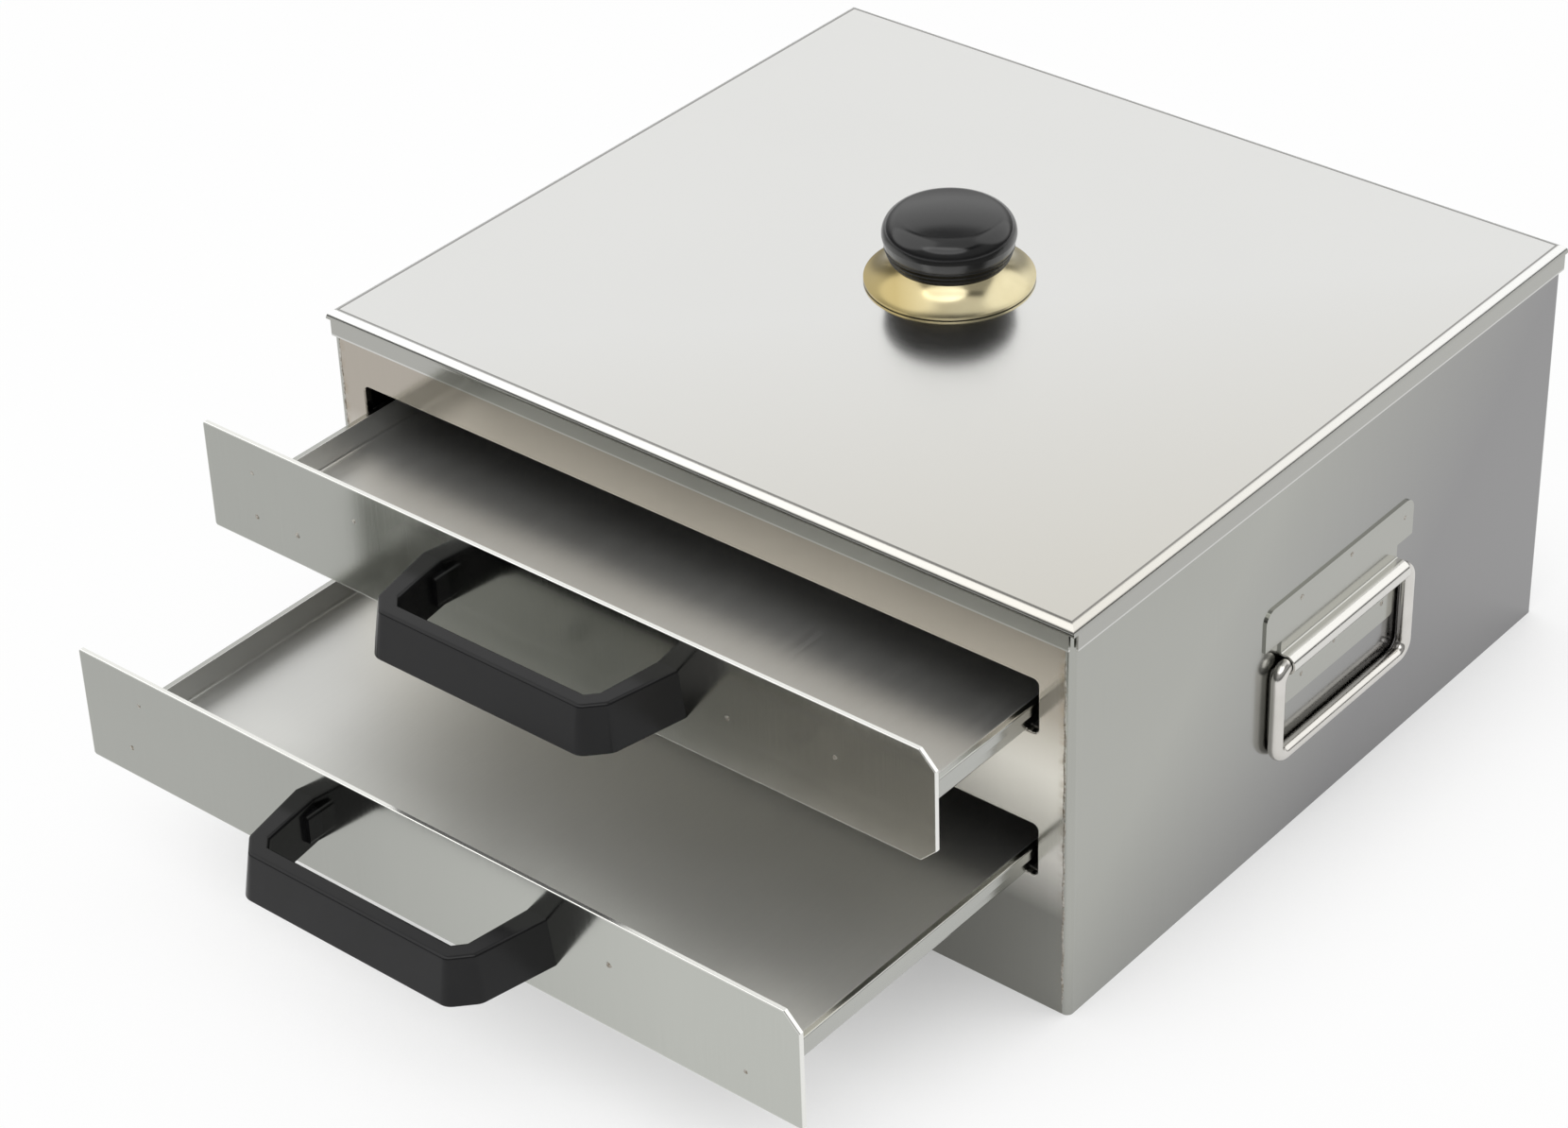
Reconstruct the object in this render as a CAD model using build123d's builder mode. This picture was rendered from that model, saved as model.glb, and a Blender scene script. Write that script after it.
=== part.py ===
"""Rice noodle roll steamer: a stainless box with a lift-off lid and two shallow drawer trays.

Millimetres, +Z up, +X to the right when the drawers face the viewer, +Y to the back.
The origin is the centre of the cabinet's base, on the surface it stands on.
Both drawers are drawn as they stand part pulled out, the lower one further than the upper.
"""
from build123d import *
from math import radians, tan
import os

os.makedirs("parts", exist_ok=True)

# ---- cabinet ----
cabinet_width = 327.0
cabinet_depth = 299.0
cabinet_height = 158.9
cabinet_sheet = 0.8
corner_bend = 2.4            # outside radius of the upright bends
front_return = 2.8           # how far each side sheet wraps round on to the front
seam_bevel = 0.3             # bevel along the upright weld seams
rim_hem = 8.0                # height of the folded-in hem round the top
rim_fold = 1.4               # radius of the hem's fold
pan_flange = 12.0            # height of the base pan's upturned edge
pan_fit = 0.1                # gap between the base pan and the walls

# ---- drawer slots in the front ----
slot_margin = 13.5           # from each side of the cabinet to a slot
slot_height = 21.0
slot_radius = 2.0
slot_lip = 3.0               # depth of the edge turned into the cabinet
slot_edge_round = 0.7
lower_slot_z = 64.0          # height of the lower slot's middle
slot_pitch = 58.4            # from the lower slot's middle to the upper one's

# ---- runners ----
runner_sheet = 1.0
runner_overlap = 8.0         # how far a runner reaches under the tray
runner_flange = 12.0         # height of the flange on the side wall
runner_stop = 6.0            # height of the upturned stop at the back
ledge_above_slot = 0.3       # runner's top above the slot's lower edge
tray_running_gap = 0.3       # between a tray's underside and its runners
front_running_gap = 0.3      # between a pushed-in drawer and what stops it

# ---- drawer trays ----
tray_side_gap = 3.2          # between each side of a slot and the tray's wall
tray_shorter = 11.0          # how much shorter a tray is than the cabinet is deep
tray_height = 10.7
tray_sheet = 0.8
tray_corner = 5.0            # corner radius seen from above
tray_bend = 1.8              # outside radius round the tray's floor
hem_proud = 1.7              # how far the rim's hem stands out
hem_height = 3.8
hem_round = 0.6
apron_inset = 5.0            # from each side of the tray to the welding flange
apron_height = 26.0          # height of that flange, which carries the drawer front
apron_corner = 6.0

# ---- drawer fronts ----
front_inset = 2.7            # how far each end stays inside the cabinet's side
upper_front_height = 43.2
lower_front_height = 45.2
front_sheet = 0.8
front_hem = 7.0              # width of the edges folded flat behind the front
front_rise = 25.9            # front's top edge above the slot's middle
front_cut = 6.2              # large cut corners on the right
front_small_cut = 0.9        # smaller cut corners elsewhere
front_edge_round = 0.35
upper_pull = 67.5            # how far the upper front stands out of the cabinet
lower_pull = 135.5

# ---- drawer handles ----
handle_rise = 4.3            # handle's middle above the slot's middle
handle_base_width = 113.0
handle_shoulder_width = 101.0
handle_front_width = 88.0
handle_reach = 34.0
handle_shoulder = 27.0       # how far out the corners of the grip begin
handle_height = 18.0
handle_bar = 6.4             # thickness of the grip
handle_leg_root = 8.6        # thickness of a leg at the drawer front
handle_leg_tip = 6.2         # and where it meets the grip
handle_corner_round = 3.0
handle_edge_round = 1.2      # round the top of the grip and the bosses
handle_foot_round = 0.4      # round its underside
handle_draft = 8.8           # degrees, the outer sides spread towards the bottom
boss_depth = 6.0             # how far a screw boss reaches along its leg
boss_inset = 3.0             # how far a boss thickens the leg inwards
boss_height = 11.0

# ---- handle screws ----
screw_spacing = 102.0
screw_radius = 1.95
screw_hole_gap = 0.05
screw_grip = 10.0            # length inside the handle
screw_head_radius = 3.6
screw_head_height = 2.2
recess_width = 0.9
recess_length = 3.8
recess_depth = 0.9

# ---- side handles: a saddle plate with a rolled sleeve, and a wire bail in it ----
bail_wire = 5.5
bail_width = 82.5            # between the middles of the two legs
bail_drop = 37.5             # from the hinge line to the middle of the lower bar
bail_bend = 5.5              # radius of the wire's middle line
bail_gap = 0.3               # round the wire in its sleeve
bail_height = 77.5           # hinge line above the base
bail_setback = 8.0           # middle of the side handle behind the cabinet's middle
saddle_sheet = 0.8
saddle_width = 93.0
saddle_top = 25.0            # plate's top above the hinge line
saddle_ears = 9.0            # bottom of the wide part above the hinge line
saddle_tail = 20.0           # narrow part's end below the hinge line
sleeve_width = 73.5
saddle_corner = 5.0
tail_corner = 3.0
sleeve_root_round = 0.7

# ---- lid ----
lid_sheet = 0.8
lid_gap = 0.6                # between the skirt and the cabinet's walls
lid_seat = 0.3               # between the lid's underside and the cabinet's rim
lid_skirt = 9.5
lid_bend = 3.3               # outside radius round the top
lid_notch = 2.2              # open corner between two skirts

# ---- knob ----
knob_radius = 24.3
knob_top = 28.0              # height of the knob's crown above the lid
knob_brow = 18.2             # height of its widest point
knob_neck_radius = 21.3
knob_neck = 8.6              # height of the neck's lower edge
knob_crown_edge = 18.0       # radius at which the crown turns down
knob_crown_drop = 1.8        # how much lower the crown is there
knob_side_bulge = 0.3        # roundness of the side between neck and brow
knob_brow_bulge = 1.9        # roundness of the edge above the brow
knob_stem_radius = 8.0
ferrule_radius = 31.0
ferrule_rim = 0.9            # thickness of the ferrule's rim
ferrule_lift = 0.3           # rim's underside above the lid
ferrule_hub_radius = 13.0
ferrule_wall = 1.6           # height of the hollow's roof below the seat
ferrule_sag = 1.2            # hollow of the flare's curve
ferrule_gap = 0.1            # round the knob's stem
insert_radius = 4.0
insert_length = 10.0
insert_start = 2.0           # above the lid
knob_screw_radius = 2.5
knob_screw_length = 13.0
knob_screw_head_radius = 4.6
knob_screw_head_height = 2.6
washer_radius = 8.0
washer_thickness = 1.0

# ---- places worked out from the sizes above ----
front_y = -cabinet_depth / 2
inner_width = cabinet_width - 2 * cabinet_sheet
inner_depth = cabinet_depth - 2 * cabinet_sheet
inner_bend = corner_bend - cabinet_sheet
front_panel_width = cabinet_width - 2 * front_return
slot_width = cabinet_width - 2 * slot_margin
tray_width = slot_width - 2 * tray_side_gap
tray_length = cabinet_depth - tray_shorter
apron_width = tray_width - 2 * apron_inset
front_width = cabinet_width - 2 * front_inset
slot_heights = [lower_slot_z, lower_slot_z + slot_pitch]
lid_underside = cabinet_height + lid_seat
lid_top = lid_underside + lid_sheet
side_x = cabinet_width / 2
bail_offset = bail_wire / 2 + bail_gap
hinge_x = side_x + bail_offset
overshoot = 1.0              # how far a cut runs past what it cuts


def finish(part, name):
    """Label a finished piece and write it."""
    part.label = name
    export_step(part, f"parts/{name}.step")


# ---------------------------------------------------------------- cabinet
with BuildPart() as body_wrap:
    # one sheet bent round the left side, the back and the right side, with a return on to the front
    with BuildSketch(Plane.XY):
        RectangleRounded(cabinet_width, cabinet_depth, corner_bend)
    extrude(amount=cabinet_height)
    fillet(body_wrap.faces().sort_by(Axis.Z)[-1].edges(), rim_fold)
    with BuildSketch(Plane.XY):
        RectangleRounded(inner_width, inner_depth, inner_bend)
    extrude(amount=cabinet_height - rim_hem, mode=Mode.SUBTRACT)
    # the top edge is folded down inside as a hem
    with BuildSketch(Plane.XY.offset(cabinet_height - rim_hem)):
        Rectangle(inner_width - 2 * cabinet_sheet, inner_depth - 2 * cabinet_sheet)
    extrude(amount=rim_hem, mode=Mode.SUBTRACT)
    with BuildSketch(Plane.XY):
        with Locations((0, front_y)):
            Rectangle(front_panel_width, 2 * (cabinet_sheet + inner_bend))
    extrude(amount=cabinet_height, mode=Mode.SUBTRACT)

with BuildPart() as front_panel:
    with BuildSketch(Plane.XZ.offset(-front_y)):
        with Locations((0, cabinet_height / 2)):
            Rectangle(front_panel_width, cabinet_height)
    extrude(amount=-cabinet_sheet)
    # collars turned inwards round both slots
    with BuildSketch(Plane.XZ.offset(-front_y)):
        with Locations(*[(0, z) for z in slot_heights]):
            RectangleRounded(
                slot_width + 2 * cabinet_sheet,
                slot_height + 2 * cabinet_sheet,
                slot_radius + cabinet_sheet,
            )
    extrude(amount=-slot_lip)
    with BuildSketch(Plane.XZ.offset(-front_y + overshoot)):
        with Locations(*[(0, z) for z in slot_heights]):
            RectangleRounded(slot_width, slot_height, slot_radius)
    extrude(amount=-slot_lip - 2 * overshoot, mode=Mode.SUBTRACT)
    outer_face = front_panel.faces().sort_by(Axis.Y)[0]
    fillet([edge for wire in outer_face.inner_wires() for edge in wire.edges()], slot_edge_round)
    seams = front_panel.edges().filter_by(Axis.Z).group_by(Axis.Y)[0]
    chamfer([seams.sort_by(Axis.X)[0], seams.sort_by(Axis.X)[-1]], seam_bevel)
    # hem folded down inside the top edge
    with BuildSketch(Plane.XZ.offset(-front_y - cabinet_sheet)):
        with Locations((0, cabinet_height - rim_hem / 2)):
            Rectangle(front_panel_width, rim_hem)
    extrude(amount=-cabinet_sheet)
    fillet(front_panel.edges().filter_by(Axis.X).group_by(Axis.Z)[-1].sort_by(Axis.Y)[0], rim_fold)

with BuildPart() as bottom_pan:
    with BuildSketch(Plane.XY):
        RectangleRounded(inner_width - 2 * pan_fit, inner_depth - 2 * pan_fit, inner_bend + pan_fit)
    extrude(amount=pan_flange)
    fillet(bottom_pan.faces().sort_by(Axis.Z)[0].edges(), inner_bend - pan_fit)
    offset(amount=-cabinet_sheet, openings=bottom_pan.faces().sort_by(Axis.Z)[-1])

finish(body_wrap.part, "body_wrap")
finish(front_panel.part, "front_panel")
finish(bottom_pan.part, "bottom_pan")

# ---------------------------------------------------------------- runners
runner_front = front_y + slot_lip + pan_fit
runner_back = inner_depth / 2 - inner_bend          # clear of the upright bends
ledge_reach = inner_width / 2 - (tray_width / 2 - runner_overlap)
closed_gap = front_running_gap + front_sheet         # a pushed-in front's hem stops here
tray_back_pushed_in = front_y - closed_gap + tray_length
stop_y = tray_back_pushed_in + front_running_gap

for level, slot_z in zip(["lower", "upper"], slot_heights):
    ledge_top = slot_z - slot_height / 2 + ledge_above_slot
    with BuildPart() as runner:
        # shelf angle on the right side wall
        with BuildSketch(Plane.XZ.offset(-runner_front)):
            with BuildLine():
                Polyline(
                    (inner_width / 2, ledge_top),
                    (inner_width / 2 - ledge_reach, ledge_top),
                    (inner_width / 2 - ledge_reach, ledge_top - runner_sheet),
                    (inner_width / 2 - runner_sheet, ledge_top - runner_sheet),
                    (inner_width / 2 - runner_sheet, ledge_top - runner_flange),
                    (inner_width / 2, ledge_top - runner_flange),
                    close=True,
                )
            make_face()
        extrude(amount=runner_front - runner_back)
        # tab turned up where the tray's back comes to rest
        with BuildSketch(Plane.XY.offset(ledge_top)):
            with Locations((inner_width / 2 - ledge_reach, stop_y)):
                Rectangle(runner_overlap, runner_sheet, align=(Align.MIN, Align.MIN))
        extrude(amount=runner_stop)
        at_wall = runner.edges().filter_by(Axis.Y).group_by(Axis.X)[-1]
        fillet(at_wall.sort_by(Axis.Z)[-1], runner_sheet)
    finish(runner.part, f"runner_{level}_right")

    with BuildPart() as runner_mirrored:
        mirror(runner.part, about=Plane.YZ)
    finish(runner_mirrored.part, f"runner_{level}_left")


# ---------------------------------------------------------------- drawers
drawers = zip(
    ["lower", "upper"],
    slot_heights,
    [lower_pull, upper_pull],
    [lower_front_height, upper_front_height],
    [front_small_cut, front_cut],                      # bottom right corners of the fronts
)
for level, slot_z, pull, front_height, bottom_cut in drawers:
    outer_y = front_y - pull                          # drawer front's outer face
    apron_y = outer_y + front_sheet                   # where tray and front are welded together
    tray_z = slot_z - slot_height / 2 + ledge_above_slot + tray_running_gap
    front_z = slot_z + front_rise - front_height / 2
    handle_z = slot_z + handle_rise
    tray_middle = apron_y + tray_length / 2
    screw_places = [(-screw_spacing / 2, handle_z), (screw_spacing / 2, handle_z)]

    with BuildPart() as tray:
        with BuildSketch(Plane.XY.offset(tray_z)):
            with Locations((0, tray_middle)):
                RectangleRounded(tray_width, tray_length, tray_corner)
        extrude(amount=tray_height)
        fillet(tray.faces().sort_by(Axis.Z)[0].edges(), tray_bend)
        offset(amount=-tray_sheet, openings=tray.faces().sort_by(Axis.Z)[-1])
        # rim folded outwards and down on both sides and at the back
        with BuildSketch(Plane.XY.offset(tray_z + tray_height - hem_height)):
            with Locations((0, tray_middle)):
                RectangleRounded(
                    tray_width + 2 * hem_proud,
                    tray_length + 2 * hem_proud,
                    tray_corner + hem_proud,
                )
                RectangleRounded(
                    tray_width - tray_sheet,
                    tray_length - tray_sheet,
                    tray_corner - tray_sheet / 2,
                    mode=Mode.SUBTRACT,
                )
            with Locations((0, apron_y)):
                Rectangle(
                    tray_width + 2 * (hem_proud + overshoot),
                    2 * tray_corner,
                    mode=Mode.SUBTRACT,
                )
        extrude(amount=hem_height)
        fillet(tray.faces().sort_by(Axis.Z)[-1].outer_wire().edges(), hem_round)
        # the front wall carries on upwards as a welding flange
        with BuildSketch(Plane.XZ.offset(-apron_y)):
            with Locations((0, tray_z + tray_bend + (apron_height - tray_bend) / 2)):
                Rectangle(apron_width, apron_height - tray_bend)
            chamfer(vertices().group_by(Axis.Y)[-1], apron_corner)
        extrude(amount=-tray_sheet)
        with Locations(Plane.XZ.offset(-apron_y)):
            with Locations(*screw_places):
                Hole(screw_radius + screw_hole_gap, depth=tray_sheet + overshoot)
    finish(tray.part, f"{level}_tray")

    with BuildPart() as front:
        with BuildSketch(Plane.XZ.offset(-outer_y)):
            with Locations((0, front_z)):
                Rectangle(front_width, front_height)
            right_corners = vertices().group_by(Axis.X)[-1].sort_by(Axis.Y)
            chamfer(right_corners[-1], front_cut)
            chamfer(right_corners[0], bottom_cut)
            chamfer(vertices().group_by(Axis.X)[0], front_small_cut)
        extrude(amount=-2 * front_sheet)
        with BuildSketch(Plane.XZ.offset(-outer_y - front_sheet)):
            with Locations((0, front_z)):
                Rectangle(front_width - 2 * front_hem, front_height - 2 * front_hem)
        extrude(amount=-front_sheet - overshoot, mode=Mode.SUBTRACT)
        fillet(front.faces().sort_by(Axis.Y)[0].edges(), front_edge_round)
        with Locations(Plane.XZ.offset(-outer_y)):
            with Locations(*screw_places):
                Hole(screw_radius + screw_hole_gap, depth=front_sheet + overshoot)
    finish(front.part, f"{level}_front")

    with BuildPart() as handle:
        # a moulded loop seen from above: two legs, cut-off shoulders and the grip
        spread = handle_height * tan(radians(handle_draft))
        half_base = handle_base_width / 2 + spread
        half_shoulder = handle_shoulder_width / 2 + spread
        half_front = handle_front_width / 2 + spread / 2
        with BuildSketch(Plane.XY.offset(handle_z - handle_height / 2)):
            with BuildLine():
                Polyline(
                    (-half_base, outer_y + spread + overshoot),
                    (-half_base, outer_y),
                    (-half_shoulder, outer_y - handle_shoulder - spread / 2),
                    (-half_front, outer_y - handle_reach - spread),
                    (half_front, outer_y - handle_reach - spread),
                    (half_shoulder, outer_y - handle_shoulder - spread / 2),
                    (half_base, outer_y),
                    (half_base, outer_y + spread + overshoot),
                    close=True,
                )
            make_face()
            grip_corners = vertices().group_by(Axis.Y)
            fillet(grip_corners[0] + grip_corners[1], handle_corner_round + spread)
        extrude(amount=handle_height, taper=handle_draft)
        split(bisect_by=Plane.XZ.offset(-outer_y), keep=Keep.TOP)
        # finger opening
        root_x = handle_base_width / 2 - handle_leg_root
        tip_x = handle_shoulder_width / 2 - handle_leg_tip
        corner_x = handle_front_width / 2 - handle_leg_tip / 2
        with BuildSketch(Plane.XY.offset(handle_z - handle_height / 2)):
            with BuildLine():
                Polyline(
                    (-root_x, outer_y + overshoot),
                    (-tip_x, outer_y - handle_shoulder + handle_bar / 2),
                    (-corner_x, outer_y - handle_reach + handle_bar),
                    (corner_x, outer_y - handle_reach + handle_bar),
                    (tip_x, outer_y - handle_shoulder + handle_bar / 2),
                    (root_x, outer_y + overshoot),
                    close=True,
                )
            make_face()
        extrude(amount=handle_height, mode=Mode.SUBTRACT)
        for side, radius in [(-1, handle_edge_round), (0, handle_foot_round)]:
            rim = handle.faces().filter_by(Axis.Z).sort_by(Axis.Z)[side].edges()
            fillet(rim - rim.group_by(Axis.Y)[-1], radius)
        # bosses that take the screws, stepped in from the legs' inner sides
        boss_width = boss_inset + handle_leg_root / 2
        boss_x = root_x - boss_inset + boss_width / 2
        with BuildSketch(Plane.XZ.offset(-outer_y)):
            with Locations((-boss_x, handle_z), (boss_x, handle_z)):
                RectangleRounded(boss_width, boss_height, handle_edge_round)
        extrude(amount=boss_depth)
        with BuildSketch(Plane.XZ.offset(-outer_y)):
            with Locations(*screw_places):
                Circle(screw_radius + screw_hole_gap)
        extrude(amount=screw_grip + screw_hole_gap, mode=Mode.SUBTRACT)
    finish(handle.part, f"{level}_handle")

    # two pan-head screws, put in from inside the tray
    head_y = apron_y + tray_sheet
    with BuildPart() as screws:
        with BuildSketch(Plane.XZ.offset(-head_y)):
            with Locations(*screw_places):
                Circle(screw_radius)
        extrude(amount=head_y - outer_y + screw_grip)
        with BuildSketch(Plane.XZ.offset(-head_y)):
            with Locations(*screw_places):
                Circle(screw_head_radius)
        extrude(amount=-screw_head_height)
        crowns = screws.faces().filter_by(Axis.Y).sort_by(Axis.Y)[-2:]
        fillet(crowns.edges(), screw_head_height / 2)
        with BuildSketch(Plane.XZ.offset(-head_y - screw_head_height)):
            with Locations(*screw_places):
                Rectangle(recess_length, recess_width)
                Rectangle(recess_width, recess_length)
        extrude(amount=recess_depth, mode=Mode.SUBTRACT)
    finish(screws.part, f"{level}_handle_screws")


# ---------------------------------------------------------------- side handles
sleeve_outside = bail_offset + saddle_sheet

with BuildPart() as right_saddle:
    # plate: wide above the sleeve, narrow below it
    with BuildSketch(Plane.YZ.offset(side_x)):
        with Locations((bail_setback, bail_height + saddle_ears)):
            Rectangle(saddle_width, saddle_top - saddle_ears, align=(Align.CENTER, Align.MIN))
        ears = vertices().group_by(Axis.Y)[-1]
        fillet(ears, saddle_corner)
        with Locations((bail_setback, bail_height - saddle_tail)):
            Rectangle(
                sleeve_width,
                saddle_tail + saddle_ears + saddle_corner,
                align=(Align.CENTER, Align.MIN),
            )
        fillet(vertices().group_by(Axis.Y)[0], tail_corner)
    extrude(amount=saddle_sheet)
    # sleeve rolled out of the plate, open to the cabinet's wall
    sleeve_end = Plane.XZ.offset(-(bail_setback + sleeve_width / 2))
    with BuildSketch(sleeve_end):
        with Locations((hinge_x, bail_height)):
            Circle(sleeve_outside)
        with Locations((side_x, bail_height)):
            Rectangle(bail_offset, 2 * sleeve_outside, align=(Align.MIN, Align.CENTER))
            Rectangle(
                sleeve_outside,
                2 * sleeve_outside,
                align=(Align.MAX, Align.CENTER),
                mode=Mode.SUBTRACT,
            )
    extrude(amount=sleeve_width)
    on_plate = right_saddle.edges().filter_by(Axis.Y).filter_by_position(
        Axis.X, side_x + saddle_sheet / 2, side_x + 3 * saddle_sheet / 2
    )
    root_span = sleeve_outside + sleeve_root_round
    roots = on_plate.filter_by_position(Axis.Z, bail_height - root_span, bail_height + root_span)
    fillet(roots, sleeve_root_round)
    with BuildSketch(sleeve_end.offset(-overshoot)):
        with Locations((hinge_x, bail_height)):
            Circle(bail_offset)
            Rectangle(bail_offset + overshoot, 2 * bail_offset, align=(Align.MAX, Align.CENTER))
    extrude(amount=sleeve_width + 2 * overshoot, mode=Mode.SUBTRACT)

with BuildPart() as right_bail:
    # half of the bent wire, then its mirror image
    with BuildLine(Plane.YZ.offset(hinge_x)) as wire:
        FilletPolyline(
            (bail_setback, bail_height),
            (bail_setback + bail_width / 2, bail_height),
            (bail_setback + bail_width / 2, bail_height - bail_drop),
            (bail_setback, bail_height - bail_drop),
            radius=bail_bend,
        )
    with BuildSketch(Plane(origin=wire.line @ 0, z_dir=wire.line % 0)):
        Circle(bail_wire / 2)
    sweep(path=wire.line)
    mirror(about=Plane.XZ.offset(-bail_setback))

for piece, name in [(right_saddle, "saddle"), (right_bail, "bail")]:
    finish(piece.part, f"right_{name}")
    with BuildPart() as mirrored:
        mirror(piece.part, about=Plane.YZ)
    finish(mirrored.part, f"left_{name}")


# ---------------------------------------------------------------- lid
with BuildPart() as lid_shell:
    lid_width = cabinet_width + 2 * (lid_gap + lid_sheet)
    lid_depth = cabinet_depth + 2 * (lid_gap + lid_sheet)
    with BuildSketch(Plane.XY.offset(lid_top - lid_skirt)):
        Rectangle(lid_width, lid_depth)
    extrude(amount=lid_skirt)
    fillet(lid_shell.faces().sort_by(Axis.Z)[-1].edges(), lid_bend)
    offset(amount=-lid_sheet, openings=lid_shell.faces().sort_by(Axis.Z)[0])
    # the skirts stop short of each other at the corners
    with BuildSketch(Plane.XY.offset(lid_top - lid_skirt)):
        with GridLocations(lid_width, lid_depth, 2, 2):
            Rectangle(2 * lid_notch, 2 * lid_notch)
    extrude(amount=lid_skirt - lid_bend, mode=Mode.SUBTRACT)
    with Locations((0, 0, lid_top)):
        Hole(knob_screw_radius + screw_hole_gap, depth=2 * lid_sheet)

with BuildPart() as knob_head:
    with BuildSketch(Plane.XZ):
        with BuildLine():
            neck = (knob_neck_radius, lid_top + knob_neck)
            brow = (knob_radius, lid_top + knob_brow)
            shoulder = (knob_crown_edge, lid_top + knob_top - knob_crown_drop)
            crown = (0, lid_top + knob_top)
            Polyline(
                crown,
                (0, lid_top),
                (knob_stem_radius, lid_top),
                (knob_stem_radius, lid_top + knob_neck),
                neck,
            )
            SagittaArc(neck, brow, -knob_side_bulge)
            SagittaArc(brow, shoulder, -knob_brow_bulge)
            TangentArc(crown, shoulder, tangent=(1, 0))
        make_face()
    revolve(axis=Axis.Z)
    # room for the insert and the end of the screw
    with BuildSketch(Plane.XY.offset(lid_top)):
        Circle(knob_screw_radius + screw_hole_gap)
    extrude(amount=insert_start + insert_length + screw_hole_gap, mode=Mode.SUBTRACT)
    with BuildSketch(Plane.XY.offset(lid_top + insert_start)):
        Circle(insert_radius)
    extrude(amount=insert_length, mode=Mode.SUBTRACT)

with BuildPart() as knob_ferrule:
    rim_z = lid_top + ferrule_lift
    seat_z = lid_top + knob_neck
    with BuildSketch(Plane.XZ):
        with BuildLine():
            bore = knob_stem_radius + ferrule_gap
            Polyline(
                (knob_neck_radius, seat_z),
                (bore, seat_z),
                (bore, lid_top),
                (ferrule_hub_radius, lid_top),
                (ferrule_hub_radius, seat_z - ferrule_wall),
            )
            under = (ferrule_radius - ferrule_rim, rim_z)
            SagittaArc((ferrule_hub_radius, seat_z - ferrule_wall), under, -ferrule_sag)
            Line(under, (ferrule_radius, rim_z))
            Line((ferrule_radius, rim_z), (ferrule_radius, rim_z + ferrule_rim))
            SagittaArc((ferrule_radius, rim_z + ferrule_rim), (knob_neck_radius, seat_z), ferrule_sag)
        make_face()
    revolve(axis=Axis.Z)

with BuildPart() as knob_insert:
    # threaded insert moulded into the knob's stem
    with BuildSketch(Plane.XY.offset(lid_top + insert_start)):
        Circle(insert_radius)
        Circle(knob_screw_radius + screw_hole_gap, mode=Mode.SUBTRACT)
    extrude(amount=insert_length)

with BuildPart() as knob_washer:
    with BuildSketch(Plane.XY.offset(lid_underside - washer_thickness)):
        Circle(washer_radius)
        Circle(knob_screw_radius + screw_hole_gap, mode=Mode.SUBTRACT)
    extrude(amount=washer_thickness)

with BuildPart() as knob_screw:
    head_z = lid_underside - washer_thickness
    with BuildSketch(Plane.XY.offset(head_z)):
        Circle(knob_screw_radius)
    extrude(amount=knob_screw_length)
    with BuildSketch(Plane.XY.offset(head_z)):
        Circle(knob_screw_head_radius)
    extrude(amount=-knob_screw_head_height)
    fillet(knob_screw.faces().sort_by(Axis.Z)[0].edges(), knob_screw_head_height / 2)
    with BuildSketch(Plane.XY.offset(head_z - knob_screw_head_height)):
        Rectangle(recess_length, recess_width)
        Rectangle(recess_width, recess_length)
    extrude(amount=recess_depth, mode=Mode.SUBTRACT)

finish(lid_shell.part, "lid_shell")
finish(knob_head.part, "knob_head")
finish(knob_ferrule.part, "knob_ferrule")
finish(knob_insert.part, "knob_insert")
finish(knob_washer.part, "knob_washer")
finish(knob_screw.part, "knob_screw")
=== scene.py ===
"""Rice noodle roll steamer: materials, weld marks, floor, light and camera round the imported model."""
import math

import bmesh
import bpy
from mathutils import Matrix, Vector


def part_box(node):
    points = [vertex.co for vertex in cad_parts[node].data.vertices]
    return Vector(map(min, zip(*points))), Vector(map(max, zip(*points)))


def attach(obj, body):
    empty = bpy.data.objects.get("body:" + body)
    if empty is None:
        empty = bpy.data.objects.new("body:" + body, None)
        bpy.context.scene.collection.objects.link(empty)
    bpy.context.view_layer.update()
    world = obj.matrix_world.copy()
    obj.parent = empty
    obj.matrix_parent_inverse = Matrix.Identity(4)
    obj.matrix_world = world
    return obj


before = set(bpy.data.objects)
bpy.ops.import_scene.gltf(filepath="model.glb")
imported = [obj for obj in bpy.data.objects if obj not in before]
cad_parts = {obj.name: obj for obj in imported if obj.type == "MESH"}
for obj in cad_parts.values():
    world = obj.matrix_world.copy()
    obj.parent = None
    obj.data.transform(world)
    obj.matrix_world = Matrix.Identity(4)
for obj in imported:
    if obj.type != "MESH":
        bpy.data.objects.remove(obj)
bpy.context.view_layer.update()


# ---------------------------------------------------------------- node helpers
EVEN = (1, 1, 1)                   # object coordinates as they are, in metres
NOISE_LOW, NOISE_HIGH = 0.3, 0.7   # most values of a noise texture lie between these


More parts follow.
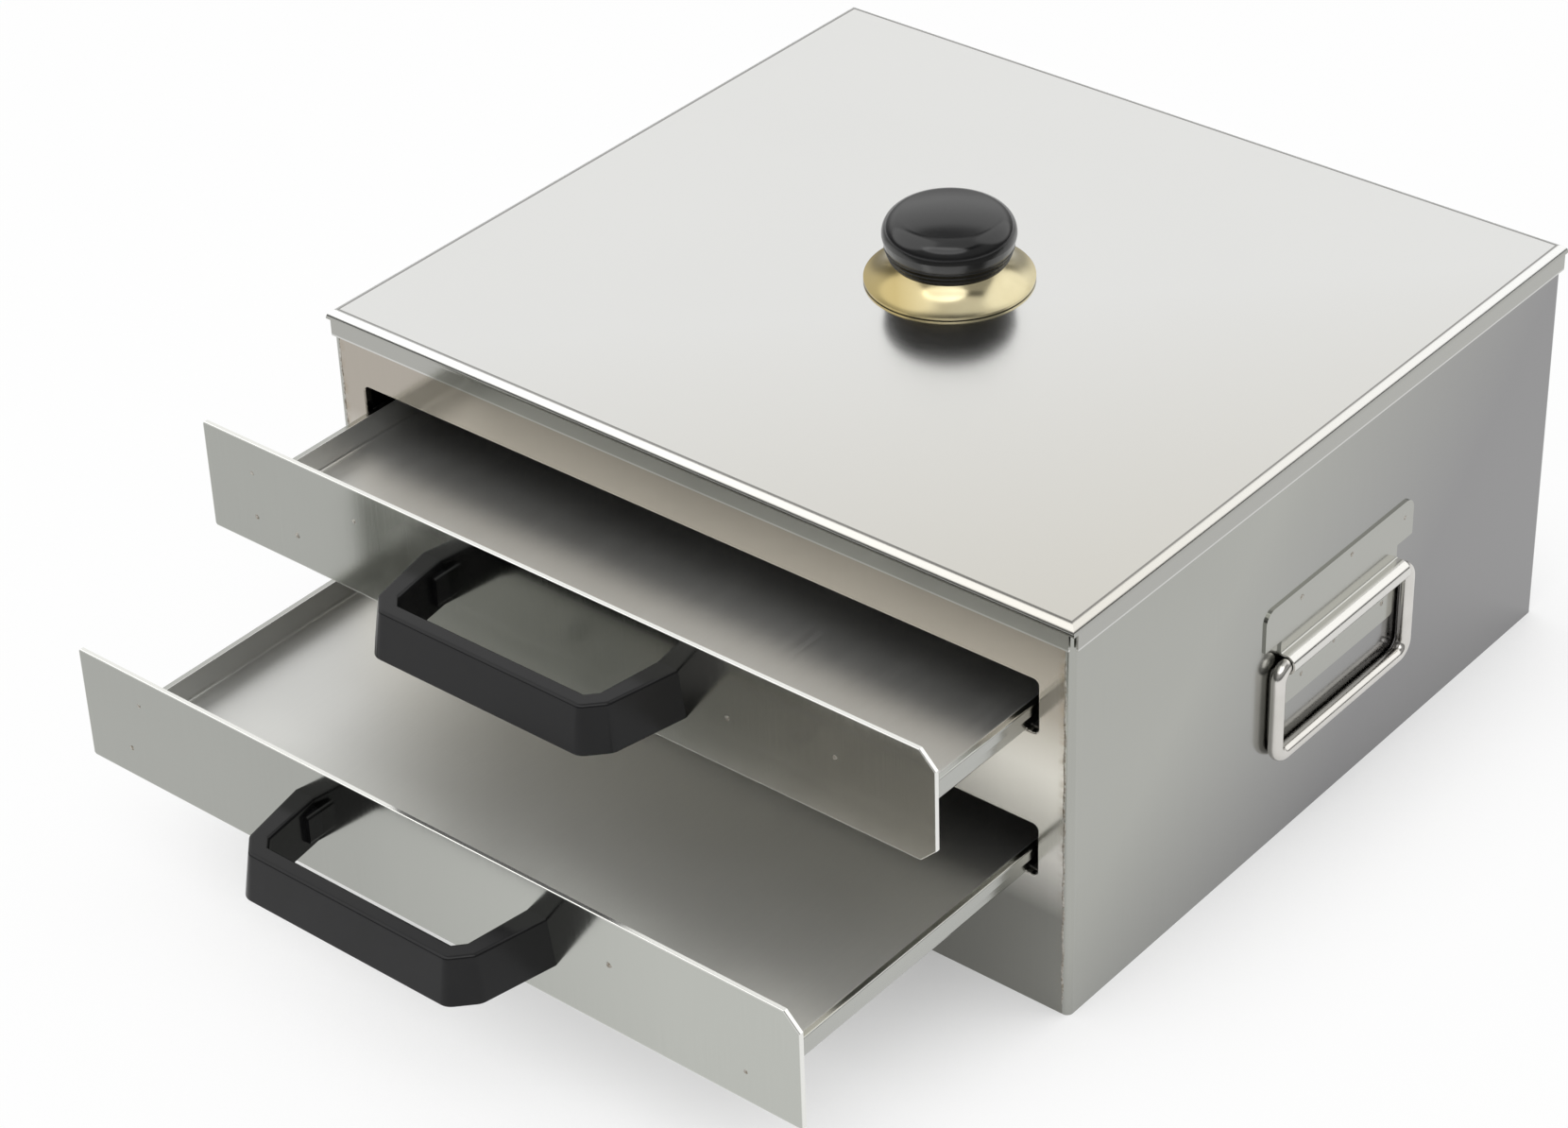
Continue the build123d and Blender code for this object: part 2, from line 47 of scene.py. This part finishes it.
class Shader:
    """A material's node tree, with short calls for the nodes used here."""

    def __init__(self, name):
        self.material = bpy.data.materials.new(name)
        self.material.use_nodes = True
        self.nodes = self.material.node_tree.nodes
        self.links = self.material.node_tree.links
        self.surface = self.nodes["Principled BSDF"]
        self.place = self.nodes.new("ShaderNodeTexCoord").outputs["Object"]

    def link(self, value, socket):
        if hasattr(value, "is_output"):
            self.links.new(value, socket)
        else:
            socket.default_value = value

    def scaled(self, scale):
        """Object coordinates in metres, multiplied by scale."""
        node = self.nodes.new("ShaderNodeMapping")
        self.links.new(self.place, node.inputs["Vector"])
        node.inputs["Scale"].default_value = scale
        return node.outputs["Vector"]

    def noise(self, where, scale=1.0, detail=3.0, rough=0.5, warp=0.0):
        node = self.nodes.new("ShaderNodeTexNoise")
        self.links.new(where, node.inputs["Vector"])
        node.inputs["Scale"].default_value = scale
        node.inputs["Detail"].default_value = detail
        node.inputs["Roughness"].default_value = rough
        node.inputs["Distortion"].default_value = warp
        return node.outputs["Fac"]

    def span(self, value, low, high, to_low, to_high):
        """value from low..high on to to_low..to_high, clamped."""
        node = self.nodes.new("ShaderNodeMapRange")
        self.links.new(value, node.inputs["Value"])
        for socket, number in zip(("From Min", "From Max", "To Min", "To Max"), (low, high, to_low, to_high)):
            node.inputs[socket].default_value = number
        return node.outputs["Result"]

    def spread(self, noise, to_low, to_high):
        """A noise texture's value on to to_low..to_high."""
        return self.span(noise, NOISE_LOW, NOISE_HIGH, to_low, to_high)

    def math(self, operation, first, second=0.0):
        node = self.nodes.new("ShaderNodeMath")
        node.operation = operation
        self.link(first, node.inputs[0])
        self.link(second, node.inputs[1])
        return node.outputs["Value"]

    def mix(self, share, first, second):
        node = self.nodes.new("ShaderNodeMix")
        node.data_type = "RGBA"
        self.link(share, node.inputs[0])
        colour_a, colour_b = [socket for socket in node.inputs if socket.type == "RGBA"]
        self.link(first, colour_a)
        self.link(second, colour_b)
        return next(socket for socket in node.outputs if socket.type == "RGBA")

    def axes(self):
        """Object coordinates in metres as three numbers."""
        node = self.nodes.new("ShaderNodeSeparateXYZ")
        self.links.new(self.place, node.inputs["Vector"])
        return node.outputs["X"], node.outputs["Y"], node.outputs["Z"]

    def bump(self, height, strength, distance, below=None):
        node = self.nodes.new("ShaderNodeBump")
        self.links.new(height, node.inputs["Height"])
        node.inputs["Strength"].default_value = strength
        node.inputs["Distance"].default_value = distance
        if below is not None:
            self.links.new(below, node.inputs["Normal"])
        return node.outputs["Normal"]

    def set(self, **values):
        """Set or link the surface's sockets. Base_Color names the socket Base Color."""
        for name, value in values.items():
            self.link(value, self.surface.inputs[name.replace("_", " ")])


def rgba(red, green, blue):
    return (red, green, blue, 1.0)


def times(colour, factor):
    """A colour multiplied by factor, at most white."""
    return rgba(*[min(part * factor, 1) for part in colour])


# ---------------------------------------------------------------- materials
def painted_light_drift(s, colour, factors, start, end, far):
    """Painted light and shade: the tone moves to far where factors times (x, y, z) runs from start to end."""
    along = 0.0
    for axis, factor in zip(s.axes(), factors):
        along = s.math("ADD", s.math("MULTIPLY", axis, factor), along)
    return s.mix(s.span(along, start, end, 0.0, 1.0), colour, rgba(*far))


def heat_tint(s, colour, seam_x, reach, faint_z, full_z):
    """Brown heat colours in patches within reach of the weld seams at x = seam_x and -seam_x."""
    off = s.math("ABSOLUTE", s.math("SUBTRACT", s.math("ABSOLUTE", s.axes()[0]), seam_x))
    patchy = s.noise(s.scaled((60, 60, 260)), 1.0, 3.0, 0.6)
    share = s.math("MULTIPLY", s.span(off, 0.0, reach, 0.55, 0.0), s.span(patchy, 0.38, 0.64, 0.0, 1.0))
    share = s.math("MULTIPLY", share, s.span(s.axes()[2], faint_z, full_z, 0.15, 1.0))
    return s.mix(share, colour, rgba(0.30, 0.22, 0.13))


def painted_bend_shade(s, colour, reach_x, reach_y, width):
    """A painted shade line round the lid's top, where its bend starts."""
    past_x = s.math("SUBTRACT", s.math("ABSOLUTE", s.axes()[0]), reach_x)
    past_y = s.math("SUBTRACT", s.math("ABSOLUTE", s.axes()[1]), reach_y)
    off_line = s.math("ABSOLUTE", s.math("MAXIMUM", past_x, past_y))
    return s.mix(s.span(off_line, width / 2, width, 0.75, 0.0), colour, rgba(0.16, 0.155, 0.145))


def painted_edge_highlight(s, colour, reach_x, low, high, cut, width, tone):
    """A painted highlight along a drawer front's edges, round its outline and its cut upper right corner."""
    middle, reach_z = (low + high) / 2, (high - low) / 2
    across = s.axes()[0]
    up = s.math("SUBTRACT", s.axes()[2], middle)
    sides = s.math("SUBTRACT", s.math("ABSOLUTE", across), reach_x)
    ends = s.math("SUBTRACT", s.math("ABSOLUTE", up), reach_z)
    half_root = 0.707   # turns the distance along both axes into the one across the cut
    corner = s.math("SUBTRACT", s.math("ADD", across, up), reach_x + reach_z - cut)
    past = s.math("MAXIMUM", s.math("MAXIMUM", sides, ends), s.math("MULTIPLY", corner, half_root))
    return s.mix(s.span(past, -width, -width / 3, 0.0, 1.0), colour, rgba(*tone))


def sheet_steel(name, tone, rough, grain, depth, cloud, painted_drifts=(), tint=None, zone=None, shade_line=None,
                hem=None, rim=None):
    """Satin stainless sheet.

    grain is the scale of its rolling lines along x, y and z, per metre, and depth their strength.
    cloud is how far its tone wanders. Four more are what the helpers above take: tone changes
    across the sheet that paint light and shade, brown heat colours by the seams, a painted shade
    line where the lid's bend starts and a painted highlight along a drawer front's edges. zone is a
    part with another tone and roughness, along one axis or along both ways of it, and hem a painted
    highlight along the lowest edge that fades out upwards."""
    s = Shader(name)
    clouds = s.noise(s.scaled(EVEN), 7.0, 2.0, 0.45, 0.6)
    lines = s.noise(s.scaled(grain), 1.0, 2.0, 0.55)
    mottle = s.noise(s.scaled(EVEN), 2200.0, 2.0, 0.6)
    colour = s.mix(s.spread(clouds, 0.0, 1.0), times(tone, 1 - cloud), times(tone, 1 + cloud))
    for values in painted_drifts:
        colour = painted_light_drift(s, colour, **values)
    if tint:
        colour = heat_tint(s, colour, **tint)
    if shade_line:
        colour = painted_bend_shade(s, colour, **shade_line)
    colour = s.mix(s.span(lines, 0.35, 0.75, 0.5, 0.0), colour, s.mix(0.05, colour, rgba(0.0, 0.0, 0.0)))
    roughness = s.math("ADD", s.spread(lines, rough - 0.025, rough + 0.025), s.spread(clouds, -0.02, 0.02))
    if zone:
        value = s.axes()[zone["axis"]]
        if zone["both_ways"]:
            value = s.math("ABSOLUTE", value)
        inside = s.span(value, zone["low"], zone["high"], *zone["shares"])
        colour = s.mix(inside, colour, rgba(*zone["tone"]))
        roughness = s.math("ADD", roughness, s.math("MULTIPLY", inside, zone["rough"] - rough))
    if hem:
        colour = s.mix(s.span(s.axes()[2], hem["low"], hem["high"], 1.0, 0.0), colour, rgba(*hem["tone"]))
    if rim:
        colour = painted_edge_highlight(s, colour, **rim)
    fine = s.bump(mottle, depth, 0.00001)
    s.set(Base_Color=colour, Metallic=1.0, Roughness=roughness,
          Normal=s.bump(lines, depth, 0.00001, fine))
    return s.material


def polished_wire(name):
    """Bright drawn wire: fine marks that run along y and z, as its bars do, and faint clouds."""
    s = Shader(name)
    drawn = s.noise(s.scaled((1600, 90, 90)), 1.0, 2.0)
    clouds = s.noise(s.scaled(EVEN), 60.0, 3.0)
    s.set(Base_Color=s.mix(s.spread(clouds, 0.0, 1.0), rgba(0.60, 0.585, 0.55), rgba(0.68, 0.66, 0.63)),
          Metallic=1.0, Roughness=s.spread(drawn, 0.15, 0.20), Normal=s.bump(drawn, 0.08, 0.00002))
    return s.material


def polished_brass(name):
    """Turned brass: fine rings round the knob's axis, and painted shade: a deeper gold towards its front
    left.
    """
    s = Shader(name)
    x, y, _ = s.axes()
    across = s.math("SQRT", s.math("ADD", s.math("MULTIPLY", x, x), s.math("MULTIPLY", y, y)))
    ring = s.nodes.new("ShaderNodeCombineXYZ")
    s.links.new(s.math("MULTIPLY", across, 2600.0), ring.inputs["X"])
    turned = s.noise(ring.outputs["Vector"], 1.0, 2.0)
    clouds = s.noise(s.scaled(EVEN), 90.0, 3.0)
    gold = s.mix(s.spread(clouds, 0.0, 1.0), rgba(0.58, 0.51, 0.32), rgba(0.64, 0.57, 0.37))
    # Painted shade: the gold deepens towards the front left.
    leftward = s.math("ADD", s.math("MULTIPLY", x, -0.76), s.math("MULTIPLY", y, -0.65))
    s.set(Base_Color=s.mix(s.span(leftward, 0.0, 0.020, 0.0, 1.0), gold, rgba(0.40, 0.32, 0.145)),
          Metallic=1.0, Roughness=s.spread(clouds, 0.17, 0.23), Normal=s.bump(turned, 0.12, 0.00003))
    return s.material


def black_plastic(name, shade, rough, coat, grain, gloss):
    """Moulded phenolic: nearly black, faint flow marks and a fine skin."""
    s = Shader(name)
    flow = s.noise(s.scaled(EVEN), 45.0, 3.0, 0.55, 1.2)
    skin = s.noise(s.scaled(EVEN), 1500.0, 2.0, 0.6)
    s.set(Base_Color=s.mix(s.spread(flow, 0.0, 1.0), times(shade, 0.8), times(shade, 1.25)),
          Roughness=s.math("ADD", s.spread(flow, rough - 0.03, rough + 0.03), s.spread(skin, -0.02, 0.02)),
          Normal=s.bump(skin, grain, 0.00004),
          Coat_Weight=coat, Coat_Roughness=0.12, Specular_IOR_Level=gloss)
    return s.material


def weld_metal(name):
    """Scorched weld metal: grey, straw and brown in patches, rough."""
    s = Shader(name)
    patches = s.noise(s.scaled(EVEN), 900.0, 3.0, 0.6)
    scale = s.noise(s.scaled(EVEN), 4000.0, 2.0, 0.6)
    s.set(Base_Color=s.mix(s.span(patches, 0.35, 0.65, 0.0, 1.0),
                           rgba(0.20, 0.17, 0.13), rgba(0.52, 0.50, 0.46)),
          Metallic=1.0, Roughness=s.spread(scale, 0.25, 0.42), Normal=s.bump(scale, 0.3, 0.00003))
    return s.material


grain_x = (30, 2600, 2600)           # lines along x
grain_y = (2600, 30, 2600)           # lines along y
grain_z = (2600, 2600, 30)           # lines along z
grain_none = (1200, 1200, 1200)      # even speckle
corner_cut = 0.0062                  # each drawer front's upper right corner

# Painted light and shade on the lid: darker towards the front right, painted shade on the skirt below the
# bend, a painted shade line where the bend starts and a painted highlight along its lowest edge.
lid_steel = sheet_steel(
    "lid_steel", tone=(0.71, 0.71, 0.70), rough=0.19, grain=grain_x, depth=0.05, cloud=0.012,
    painted_drifts=[dict(factors=(1.0, -1.0, 0.0), start=0.03, end=0.34, far=(0.60, 0.58, 0.53))],
    zone=dict(axis=2, both_ways=False, low=0.1579, high=0.1586, shares=(1.0, 0.0),
              tone=(0.40, 0.40, 0.375), rough=0.15),
    shade_line=dict(reach_x=0.1616, reach_y=0.1476, width=0.0005),
    hem=dict(low=0.1510, high=0.1513, tone=(0.60, 0.60, 0.58)))
# Painted shade: the walls darken towards the bottom and the back.
wall_steel = sheet_steel(
    "wall_steel", tone=(0.395, 0.400, 0.370), rough=0.14, grain=grain_z, depth=0.10, cloud=0.03,
    painted_drifts=[dict(factors=(0.0, 1.0, -1.0), start=-0.18, end=0.0, far=(0.262, 0.260, 0.262))])
# Painted reflections: the panel's cream tone, the warm darker tone towards its top and the dark tone towards
# its bottom.
panel_steel = sheet_steel(
    "panel_steel", tone=(0.74, 0.72, 0.67), rough=0.15, grain=grain_z, depth=0.10, cloud=0.03,
    tint=dict(seam_x=0.1607, reach=0.003, faint_z=0.040, full_z=0.070),
    painted_drifts=[dict(factors=(0.0, 0.0, 1.0), start=0.098, end=0.122, far=(0.42, 0.385, 0.335)),
            dict(factors=(0.0, 0.0, -1.0), start=-0.064, end=-0.040, far=(0.24, 0.24, 0.22))])
front_steels = {}
# Painted light: each drawer front grows lighter towards the right, and a painted highlight runs along its
# edges.
for name, start, end, far in (("upper_front", 0.03, 0.12, (0.62, 0.595, 0.54)),
                              ("lower_front", -0.03, 0.11, (0.485, 0.495, 0.46))):
    (_, _, low), (reach, _, high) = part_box(name)
    front_steels[name] = sheet_steel(
        name + "_steel", tone=(0.38, 0.387, 0.36), rough=0.14, grain=grain_z, depth=0.10, cloud=0.03,
        painted_drifts=[dict(factors=(1.0, 0.0, 0.0), start=start, end=end, far=far)],
        rim=dict(reach_x=reach, low=low, high=high, cut=corner_cut, width=0.0006, tone=(0.78, 0.78, 0.75)))
tray_steel = sheet_steel(
    "tray_steel", tone=(0.74, 0.74, 0.72), rough=0.42, grain=grain_y, depth=0.08, cloud=0.03,
    zone=dict(axis=0, both_ways=True, low=0.1461, high=0.1465, shares=(0.0, 1.0),
              tone=(0.43, 0.435, 0.41), rough=0.16))
inner_steel = sheet_steel(
    "inner_steel", tone=(0.50, 0.50, 0.485), rough=0.36, grain=grain_y, depth=0.20, cloud=0.05)
# Painted highlight: the sleeve round the bail, out past the saddle's flat sheet, is painted brighter.
saddle_steel = sheet_steel(
    "saddle_steel", tone=(0.40, 0.402, 0.372), rough=0.13, grain=grain_y, depth=0.08, cloud=0.03,
    zone=dict(axis=0, both_ways=True, low=0.1644, high=0.1650, shares=(0.0, 1.0),
              tone=(0.68, 0.67, 0.64), rough=0.15))
screw_steel = sheet_steel(
    "screw_steel", tone=(0.58, 0.58, 0.57), rough=0.25, grain=grain_none, depth=0.2, cloud=0.05)
wire = polished_wire("polished_wire")
brass = polished_brass("polished_brass")
knob_black = black_plastic(
    "knob_black", shade=(0.005, 0.005, 0.0055), rough=0.17, coat=0.15, grain=0.04, gloss=0.46)
handle_black = black_plastic(
    "handle_black", shade=(0.006, 0.006, 0.0065), rough=0.20, coat=0.0, grain=0.12, gloss=0.26)
weld = weld_metal("weld_metal")

finishes = {
    "lid_shell": lid_steel, "body_wrap": wall_steel, "front_panel": panel_steel,
    "bottom_pan": inner_steel, "right_saddle": saddle_steel, "left_saddle": saddle_steel,
    **front_steels,
    "upper_tray": tray_steel, "lower_tray": tray_steel,
    "right_bail": wire, "left_bail": wire,
    "upper_handle": handle_black, "lower_handle": handle_black,
    "knob_head": knob_black, "knob_ferrule": brass, "knob_insert": brass,
}
for name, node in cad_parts.items():
    finish = finishes.get(name, inner_steel if name.startswith("runner") else screw_steel)
    if not node.material_slots:
        node.data.materials.append(finish)
    for material_slot in node.material_slots:
        material_slot.material = finish


# ---------------------------------------------------------------- weld marks and knob rings
def add_piece(name, shape, body, material):
    """Turn a bmesh into a smooth piece that rides on a body."""
    bmesh.ops.recalc_face_normals(shape, faces=shape.faces)
    mesh = bpy.data.meshes.new(name)
    shape.to_mesh(mesh)
    shape.free()
    for face in mesh.polygons:
        face.use_smooth = True
    piece = bpy.data.objects.new(name, mesh)
    bpy.context.scene.collection.objects.link(piece)
    mesh.materials.append(material)
    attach(piece, body)
    return piece


UP = Vector((0, 0, 1))
dome_corners = 14
dome_rings = ((1.0, -0.25), (0.82, 0.35), (0.5, 0.85))   # share of the radius, share of the height
weld_radius, weld_radius_step, weld_height = 0.0009, 0.00015, 0.00016


def dome(shape, centre, across, outward, radius, height):
    """A low round blister: rings of points from its rim to its crown, a little out of round."""
    rings = []
    for share, lift in dome_rings:
        ring = []
        for step in range(dome_corners):
            angle = 2 * math.pi * step / dome_corners
            wobble = radius * share * (1 + 0.12 * math.sin(3 * angle + 40 * centre.x + 70 * centre.z))
            ring.append(shape.verts.new(centre + across * wobble * math.cos(angle)
                                        + UP * wobble * math.sin(angle) + outward * height * lift))
        rings.append(ring)
    crown = shape.verts.new(centre + outward * height)
    for outer, inner in zip(rings, rings[1:]):
        for step in range(dome_corners):
            shape.faces.new((outer[step - 1], outer[step], inner[step], inner[step - 1]))
    for step in range(dome_corners):
        shape.faces.new((rings[-1][step - 1], rings[-1][step], crown))
    shape.faces.new(rings[0])


def spot_welds(name, body, places, across, outward):
    """One blister at each place, in three sizes by turns."""
    shape = bmesh.new()
    for index, place in enumerate(places):
        dome(shape, Vector(place), Vector(across), Vector(outward),
             weld_radius + weld_radius_step * (index % 3), weld_height)
    return add_piece(name, shape, body, weld)


lower_front_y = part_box("lower_front")[0][1]
upper_front_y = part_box("upper_front")[0][1]
saddle_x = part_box("body_wrap")[1][0] + 0.0008   # the wall's face plus the saddle's sheet
lower_front_marks = ((-0.1324, 0.0777), (-0.1394, 0.0568), (0.0825, 0.0714), (0.1381, 0.0567))
upper_front_marks = ((-0.1380, 0.1355), (-0.1381, 0.1173), (-0.1182, 0.1175), (-0.0887, 0.1350),
                     (0.0768, 0.1256), (0.0528, 0.1190), (0.1210, 0.1300))
saddle_marks = ((0.0488, 0.0961), (0.0143, 0.0991), (-0.0169, 0.0984),
                (0.0055, 0.0674), (-0.0150, 0.0650), (0.0363, 0.0662))

spot_welds("lower_front_welds", "lower_drawer",
           [(x, lower_front_y, z) for x, z in lower_front_marks], (1, 0, 0), (0, -1, 0))
spot_welds("upper_front_welds", "upper_drawer",
           [(x, upper_front_y, z) for x, z in upper_front_marks], (1, 0, 0), (0, -1, 0))
for side, name in ((1, "right"), (-1, "left")):
    spot_welds(name + "_saddle_welds", "cabinet",
               [(side * saddle_x, y, z) for y, z in saddle_marks], (0, 1, 0), (side, 0, 0))


bead_steps = 140
bead_half_width, bead_height, bead_drift, bead_sink = 0.00050, 0.00022, 0.00018, 0.00005
bead_section = ((-1.0, 0.0), (-0.6, 0.7), (0.0, 1.0), (0.6, 0.7), (1.0, 0.0))   # shares of width, height


def seam_bead(name, x, y, low, high):
    """A ground-down weld bead up a corner seam: a low ridge that swells and thins."""
    shape = bmesh.new()
    rows = []
    for step in range(bead_steps + 1):
        z = low + (high - low) * step / bead_steps
        swell = 0.55 + 0.25 * math.sin(step * 0.9) + 0.2 * math.sin(step * 2.3 + 1.0)
        fade = min(1.0, step / 6, (bead_steps - step) / 6)
        half = bead_half_width * (0.8 + 0.4 * swell)
        centre = x + bead_drift * math.sin(step * 0.37)
        rise = bead_height * swell * fade
        rows.append([shape.verts.new((centre + half * across, y - rise * lift + bead_sink, z))
                     for across, lift in bead_section])
    for lower, upper in zip(rows, rows[1:]):
        for step in range(len(bead_section)):
            shape.faces.new((lower[step - 1], lower[step], upper[step], upper[step - 1]))
    shape.faces.new(rows[0])
    shape.faces.new(rows[-1])
    return add_piece(name, shape, "cabinet", weld)


lid_low, lid_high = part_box("lid_shell")
lid_top = lid_high[2]
neck_radius_low, neck_z_low = 0.0213, lid_top + 0.0086
neck_radius_high, neck_z_high = 0.0243, lid_top + 0.0182
neck_bulge = 0.0003
ring_turns, ring_points = 96, 7
ring_heights = [lid_top + offset for offset in (0.0100, 0.0118, 0.0138)]
ring_width, ring_proud, ring_sink = 0.0010, 0.00036, 0.00005


def neck_radius(z):
    """The knob's side between its neck and its brow, a straight line with a slight bulge."""
    share = (z - neck_z_low) / (neck_z_high - neck_z_low)
    bulge = 4 * neck_bulge * share * (1 - share)
    return neck_radius_low + (neck_radius_high - neck_radius_low) * share + bulge


def neck_rings(name):
    """Turned beads round the knob's neck."""
    shape = bmesh.new()
    for z in ring_heights:
        section = []
        for step in range(ring_points):
            share = step / (ring_points - 1)
            level = z + ring_width * (share - 0.5)
            section.append((neck_radius(level) + math.sin(math.pi * share) * ring_proud - ring_sink, level))
        loops = []
        for turn in range(ring_turns):
            angle = 2 * math.pi * turn / ring_turns
            loops.append([shape.verts.new((radius * math.cos(angle), radius * math.sin(angle), level))
                          for radius, level in section])
        for turn in range(ring_turns):
            before, after = loops[turn - 1], loops[turn]
            for step in range(ring_points):
                shape.faces.new((before[step - 1], after[step - 1], after[step], before[step]))
    return add_piece(name, shape, "lid", knob_black)


neck_rings("knob_neck_rings")
panel_low, panel_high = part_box("front_panel")
for name, x in (("left_seam_weld", panel_low[0]), ("right_seam_weld", panel_high[0])):
    seam_bead(name, x, panel_low[1], 0.004, lid_low[2] - 0.002)


# ---------------------------------------------------------------- floor and world
def floor_material():
    """Pale matte paper. Part of its brightness is its own, for the camera and in reflections alike."""
    s = Shader("floor")
    tone = s.noise(s.scaled(EVEN), 3.0, 2.0)
    s.set(Base_Color=s.mix(s.spread(tone, 0.0, 1.0), rgba(0.80, 0.80, 0.80), rgba(0.82, 0.82, 0.82)),
          Roughness=0.9, Specular_IOR_Level=0.05,
          Normal=s.bump(s.noise(s.scaled(EVEN), 220.0, 2.0), 0.05, 0.0002))
    path = s.nodes.new("ShaderNodeLightPath").outputs
    reflected = s.math("ADD", path["Is Glossy Ray"], path["Is Transmission Ray"])
    seen = s.math("ADD", path["Is Camera Ray"], reflected)
    glow = s.nodes.new("ShaderNodeEmission")
    glow.inputs["Color"].default_value = rgba(1.0, 1.0, 1.0)
    # Ambient occlusion dims the glow near the model: painted shade there, on top of the real shadow in the
    # diffuse part.
    open_sky = s.nodes.new("ShaderNodeAmbientOcclusion")
    open_sky.samples = 6
    open_sky.inputs["Distance"].default_value = 0.08
    lit = s.span(open_sky.outputs["AO"], 0.25, 0.90, 0.25, 0.93)
    share = s.nodes.new("ShaderNodeMixShader")
    s.links.new(s.math("MULTIPLY", s.math("MINIMUM", seen, 1.0), lit), share.inputs["Fac"])
    s.links.new(s.surface.outputs["BSDF"], share.inputs[1])
    s.links.new(glow.outputs["Emission"], share.inputs[2])
    s.links.new(share.outputs["Shader"], s.nodes["Material Output"].inputs["Surface"])
    return s.material


floor_mesh = bpy.data.meshes.new("floor")
shape = bmesh.new()
bmesh.ops.create_grid(shape, x_segments=8, y_segments=8, size=6.0)
shape.to_mesh(floor_mesh)
shape.free()
floor = bpy.data.objects.new("floor", floor_mesh)
bpy.context.scene.collection.objects.link(floor)
floor_mesh.materials.append(floor_material())

world = bpy.data.worlds.new("studio")
bpy.context.scene.world = world
world.use_nodes = True
nodes, links = world.node_tree.nodes, world.node_tree.links
direction = nodes.new("ShaderNodeTexCoord").outputs["Generated"]


def ramped(value, low, high, to_low, to_high):
    """A smooth ramp from to_low at low to to_high at high."""
    node = nodes.new("ShaderNodeMapRange")
    node.interpolation_type = "SMOOTHSTEP"
    links.new(value, node.inputs["Value"])
    for socket, number in zip(("From Min", "From Max", "To Min", "To Max"), (low, high, to_low, to_high)):
        node.inputs[socket].default_value = number
    return node.outputs["Result"]


def combined(operation, first, second):
    node = nodes.new("ShaderNodeMath")
    node.operation = operation
    links.new(first, node.inputs[0])
    links.new(second, node.inputs[1])
    return node.outputs["Value"]


def facing(towards):
    """How far a direction of the world points the same way as towards."""
    node = nodes.new("ShaderNodeVectorMath")
    node.operation = "DOT_PRODUCT"
    links.new(direction, node.inputs[0])
    node.inputs[1].default_value = towards
    return node.outputs["Value"]


def window(towards, inner, outer, level):
    """A round soft light in the world: level inside the inner angle, nothing past the outer one."""
    cosines = [math.cos(math.radians(angle)) for angle in (outer, inner)]
    return ramped(facing(Vector(towards).normalized()), *cosines, 0.0, level)


height = nodes.new("ShaderNodeSeparateXYZ")
links.new(direction, height.inputs["Vector"])
upward = height.outputs["Z"]
backdrop_glow = ramped(facing((-0.52, 0.63, 0.577)), 0.30, 0.86, 0.40, 1.10)
gap = ramped(upward, 0.67, 0.72, 1.0, 0.25)         # a dark band between backdrop and ceiling
horizon = ramped(upward, 0.10, 0.38, 0.40, 1.0)     # dimmer close to the floor
ceiling = ramped(upward, 0.79, 0.86, 0.0, 0.85)
level = combined("MULTIPLY", combined("MULTIPLY", backdrop_glow, gap), horizon)
level = combined("MAXIMUM", level, ceiling)
level = combined("MAXIMUM", level, window((-0.60, -0.35, 0.72), 30.0, 40.0, 1.62))
level = combined("MAXIMUM", level, window((0.34, 0.72, 0.61), 26.0, 36.0, 1.40))
links.new(level, nodes["Background"].inputs["Strength"])
nodes["Background"].inputs["Color"].default_value = rgba(1.0, 1.0, 0.992)


# ---------------------------------------------------------------- lamp and camera
lamp_place = Vector((0.55, -1.08, 1.64))
lamp_aim = Vector((0.0, -0.05, 0.08))
light = bpy.data.lights.new("overhead", "AREA")
light.shape = "ELLIPSE"
light.size, light.size_y = 2.30, 1.25
light.energy = 12.0
lamp = bpy.data.objects.new("overhead", light)
lamp.location = lamp_place
lamp.rotation_euler = (lamp_aim - lamp_place).to_track_quat("-Z", "Y").to_euler()
bpy.context.scene.collection.objects.link(lamp)

azimuth, elevation, roll = math.radians(40.614), math.radians(34.136), math.radians(-2.099)
target = Vector((-0.00811, -0.08742, 0.080))
distance = 1.4449
back = Vector((
    math.sin(azimuth) * math.cos(elevation),
    -math.cos(azimuth) * math.cos(elevation),
    math.sin(elevation),
))
level_right = Vector((math.cos(azimuth), math.sin(azimuth), 0.0))
level_up = back.cross(level_right)
right = level_right * math.cos(roll) + level_up * math.sin(roll)
up = level_up * math.cos(roll) - level_right * math.sin(roll)
camera_data = bpy.data.cameras.new("camera")
camera_data.lens = 92.97
camera_data.sensor_width = 36.0
camera_data.clip_start = 0.01
camera_data.clip_end = 50.0
camera = bpy.data.objects.new("camera", camera_data)
turned = Matrix((right, up, back)).transposed().to_4x4()
camera.matrix_world = Matrix.Translation(target + back * distance) @ turned
bpy.context.scene.collection.objects.link(camera)
bpy.context.scene.camera = camera

bpy.context.scene.view_settings.view_transform = "Standard"
